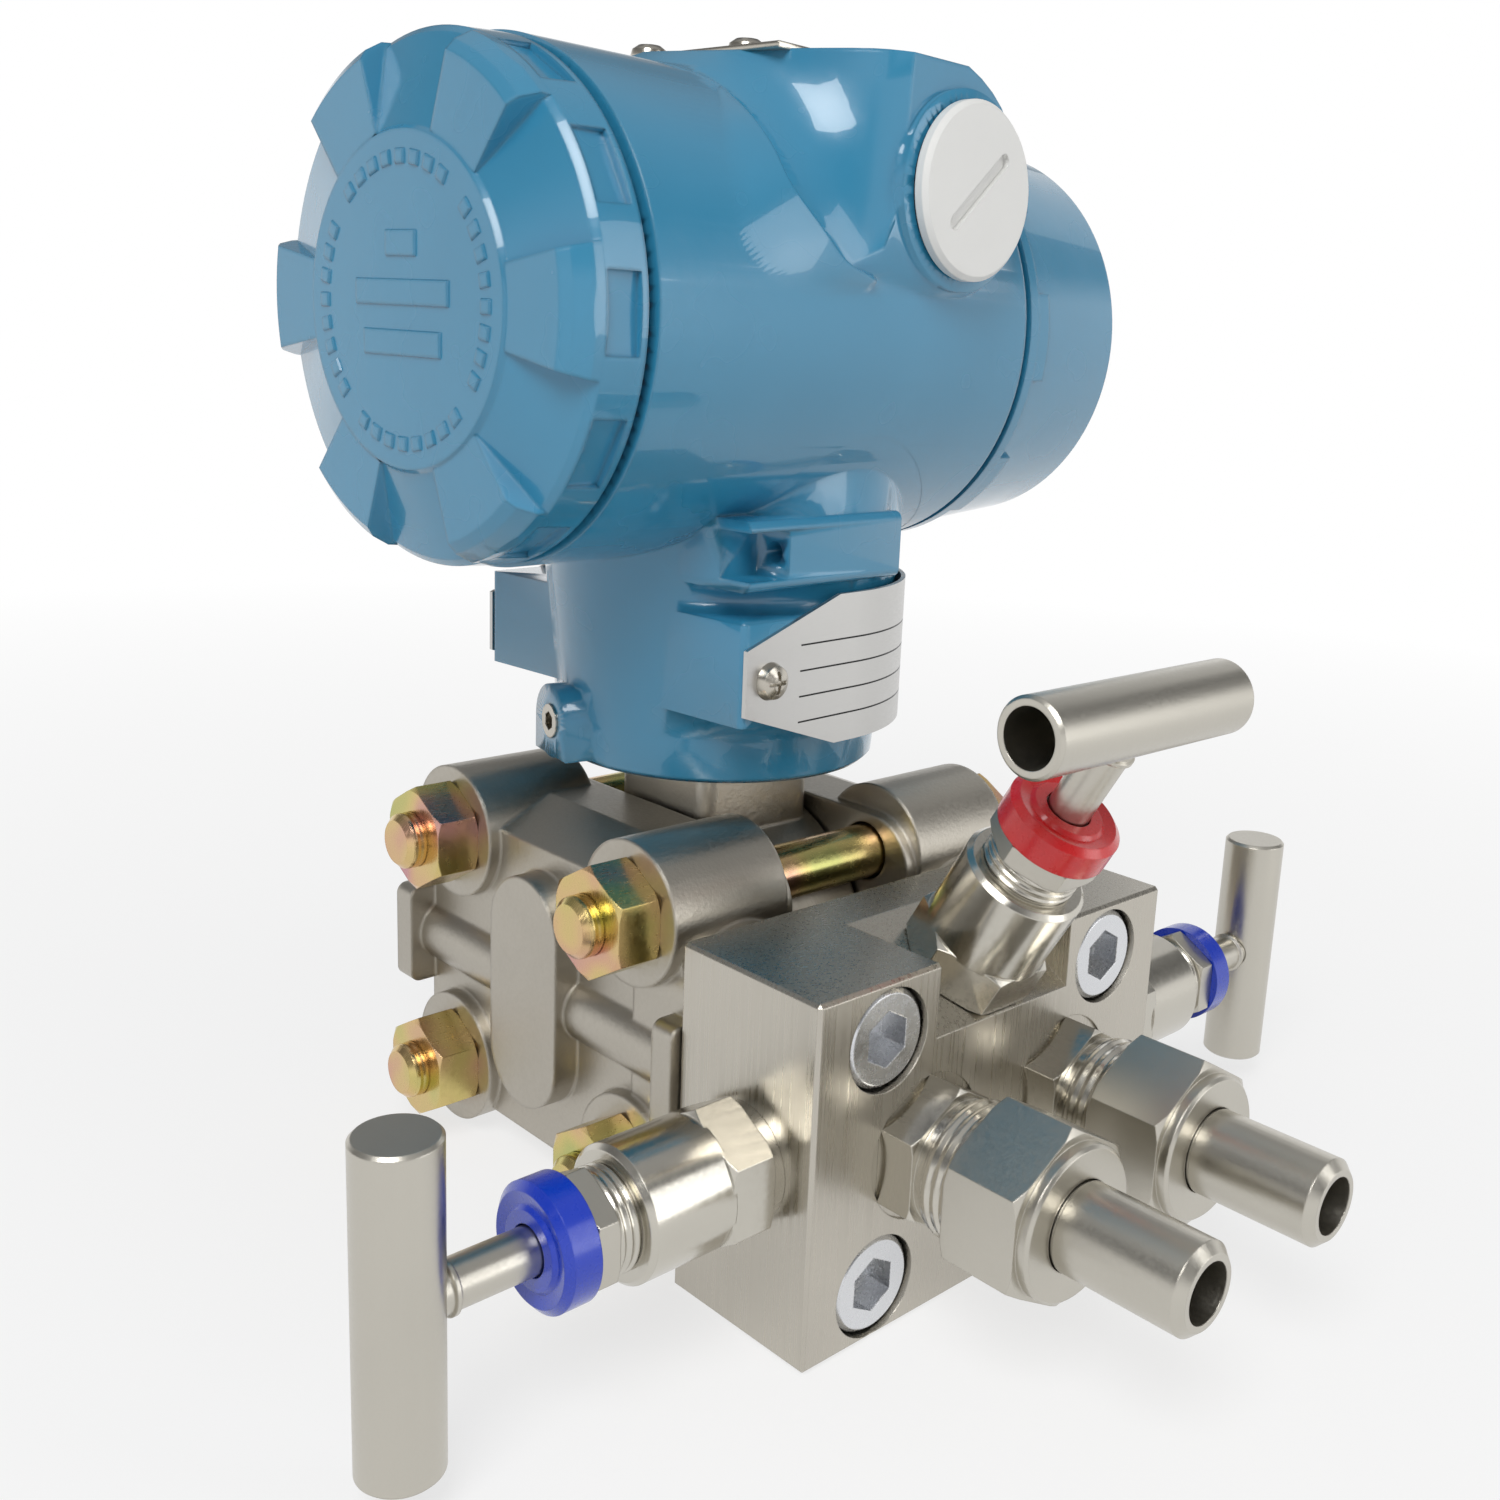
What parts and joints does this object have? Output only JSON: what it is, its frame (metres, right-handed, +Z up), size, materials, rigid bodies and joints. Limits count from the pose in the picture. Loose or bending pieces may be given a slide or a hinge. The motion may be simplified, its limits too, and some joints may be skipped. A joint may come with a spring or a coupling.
{
  "type": "differential pressure transmitter",
  "caption": "Differential pressure transmitter: round housing with screwed covers over a flanged sensor, bolted to a block manifold with needle valves and tube inlets.",
  "frame": {"origin": "centre of the overall box, on the manifold's underside", "axes": "+X across the two flanges along the side valves, +Y from the tube inlets to the transmitter, +Z up"},
  "size_m": [0.212, 0.178, 0.199],
  "materials": {
    "blue_paint": "gloss steel-blue paint",
    "cast_stainless": "bead-blasted cast stainless steel",
    "bar_stainless": "machined and brushed stainless steel",
    "polished_stainless": "turned and polished stainless steel",
    "yellow_zinc": "yellow zinc plating",
    "silver_zinc": "bright zinc plating",
    "satin_steel": "satin stainless steel",
    "blue_plastic": "moulded blue plastic",
    "red_plastic": "moulded red plastic",
    "white_plastic": "moulded white plastic",
    "black_rubber": "moulded rubber",
    "white_packing": "pressed fluoropolymer",
    "foil": "thin stainless foil",
    "plate": "plain stainless plate",
    "screw_steel": "stainless steel screw",
    "board": "coated glass-fibre board",
    "dark_plastic": "moulded dark plastic",
    "screw_brass": "plated brass screw",
    "window": "toughened clear glass"
  },
  "bodies": {
    "base": {"manifold_block": "bar_stainless", "manifold_bolts": "silver_zinc", "manifold_seals": "white_packing", "left_flange": "cast_stainless", "right_flange": "cast_stainless", "flange_bolts": "yellow_zinc", "flange_nuts": "yellow_zinc", "flange_seals": "black_rubber", "vent_plugs": "bar_stainless", "bleed_screws": "screw_steel", "sensor_capsule": "cast_stainless", "diaphragms": "foil", "left_inlet_fitting": "polished_stainless", "left_union_nut": "satin_steel", "left_weld_nipple": "satin_steel", "right_inlet_fitting": "polished_stainless", "right_union_nut": "satin_steel", "right_weld_nipple": "satin_steel", "left_valve_bonnet": "polished_stainless", "left_valve_packing": "white_packing", "left_valve_gland": "satin_steel", "left_valve_cap": "blue_plastic", "right_valve_bonnet": "polished_stainless", "right_valve_packing": "white_packing", "right_valve_gland": "satin_steel", "right_valve_cap": "blue_plastic", "equalizing_valve_bonnet": "polished_stainless", "equalizing_valve_packing": "white_packing", "equalizing_valve_gland": "satin_steel", "equalizing_valve_cap": "red_plastic"},
    "housing": {"housing": "blue_paint", "front_conduit_plug": "white_plastic", "rear_conduit_plug": "white_plastic", "plug_gaskets": "black_rubber", "top_plates": "plate", "top_plate_screws": "screw_steel", "nameplate": "plate", "nameplate_screws": "screw_steel", "lock_screw": "screw_steel", "terminal_block": "dark_plastic", "terminal_screws": "screw_brass", "electronics_board": "board", "display_module": "dark_plastic"},
    "left_cover_ring": {"left_cover_ring": "black_rubber"},
    "left_cover": {"left_cover": "blue_paint"},
    "right_cover_ring": {"right_cover_ring": "black_rubber"},
    "right_cover": {"right_cover": "blue_paint", "window_glass": "window", "window_retainer": "satin_steel"},
    "left_valve_needle": {"left_valve_needle": "satin_steel"},
    "left_valve_spindle": {"left_valve_stem": "satin_steel", "left_valve_handle": "satin_steel"},
    "right_valve_needle": {"right_valve_needle": "satin_steel"},
    "right_valve_spindle": {"right_valve_stem": "satin_steel", "right_valve_handle": "satin_steel"},
    "equalizing_valve_needle": {"equalizing_valve_needle": "satin_steel"},
    "equalizing_valve_spindle": {"equalizing_valve_stem": "satin_steel", "equalizing_valve_handle": "satin_steel"}
  },
  "joints": [
    {"name": "housing_turn", "type": "hinge", "parent": "base", "child": "housing", "pos_m": [0, 0.03655, 0.0895], "axis": [0, 0, 1], "range_deg": [-180, 180]},
    {"name": "left_valve_travel", "type": "slide", "parent": "base", "child": "left_valve_needle", "axis": [-1, 0, 0], "range_m": [0, 0.005]},
    {"name": "left_valve_turn", "type": "hinge", "parent": "left_valve_needle", "child": "left_valve_spindle", "pos_m": [-0.042, -0.02225, 0.0295], "axis": [-1, 0, 0], "range_deg": [0, 1440]},
    {"name": "right_valve_travel", "type": "slide", "parent": "base", "child": "right_valve_needle", "axis": [1, 0, 0], "range_m": [0, 0.005]},
    {"name": "right_valve_turn", "type": "hinge", "parent": "right_valve_needle", "child": "right_valve_spindle", "pos_m": [0.042, -0.02225, 0.0295], "axis": [1, 0, 0], "range_deg": [0, 1440]},
    {"name": "equalizing_valve_travel", "type": "slide", "parent": "base", "child": "equalizing_valve_needle", "axis": [0, -0.5075, 0.8616], "range_m": [0, 0.005]},
    {"name": "equalizing_valve_turn", "type": "hinge", "parent": "equalizing_valve_needle", "child": "equalizing_valve_spindle", "pos_m": [0, -0.02705, 0.0507], "axis": [0, -0.5075, 0.8616], "range_deg": [0, 1440]},
    {"name": "left_cover_travel", "type": "slide", "parent": "housing", "child": "left_cover_ring", "axis": [-0.9977, -0.068, 0], "range_m": [0, 0.009]},
    {"name": "left_cover_turn", "type": "hinge", "parent": "left_cover_ring", "child": "left_cover", "pos_m": [-0.05348, 0.0329, 0.1539], "axis": [-0.9977, -0.068, 0], "range_deg": [0, 2160]},
    {"name": "right_cover_travel", "type": "slide", "parent": "housing", "child": "right_cover_ring", "axis": [0.9977, 0.068, 0], "range_m": [0, 0.009]},
    {"name": "right_cover_turn", "type": "hinge", "parent": "right_cover_ring", "child": "right_cover", "pos_m": [0.03532, 0.03896, 0.1539], "axis": [0.9977, 0.068, 0], "range_deg": [0, 2160]}
  ],
  "couplings": [
    {"joint": "left_valve_travel", "follows": "left_valve_turn", "m_per_rad": 0.00019894},
    {"joint": "right_valve_travel", "follows": "right_valve_turn", "m_per_rad": 0.00019894},
    {"joint": "equalizing_valve_travel", "follows": "equalizing_valve_turn", "m_per_rad": 0.00019894},
    {"joint": "left_cover_travel", "follows": "left_cover_turn", "m_per_rad": 0.00023873},
    {"joint": "right_cover_travel", "follows": "right_cover_turn", "m_per_rad": 0.00023873}
  ]
}
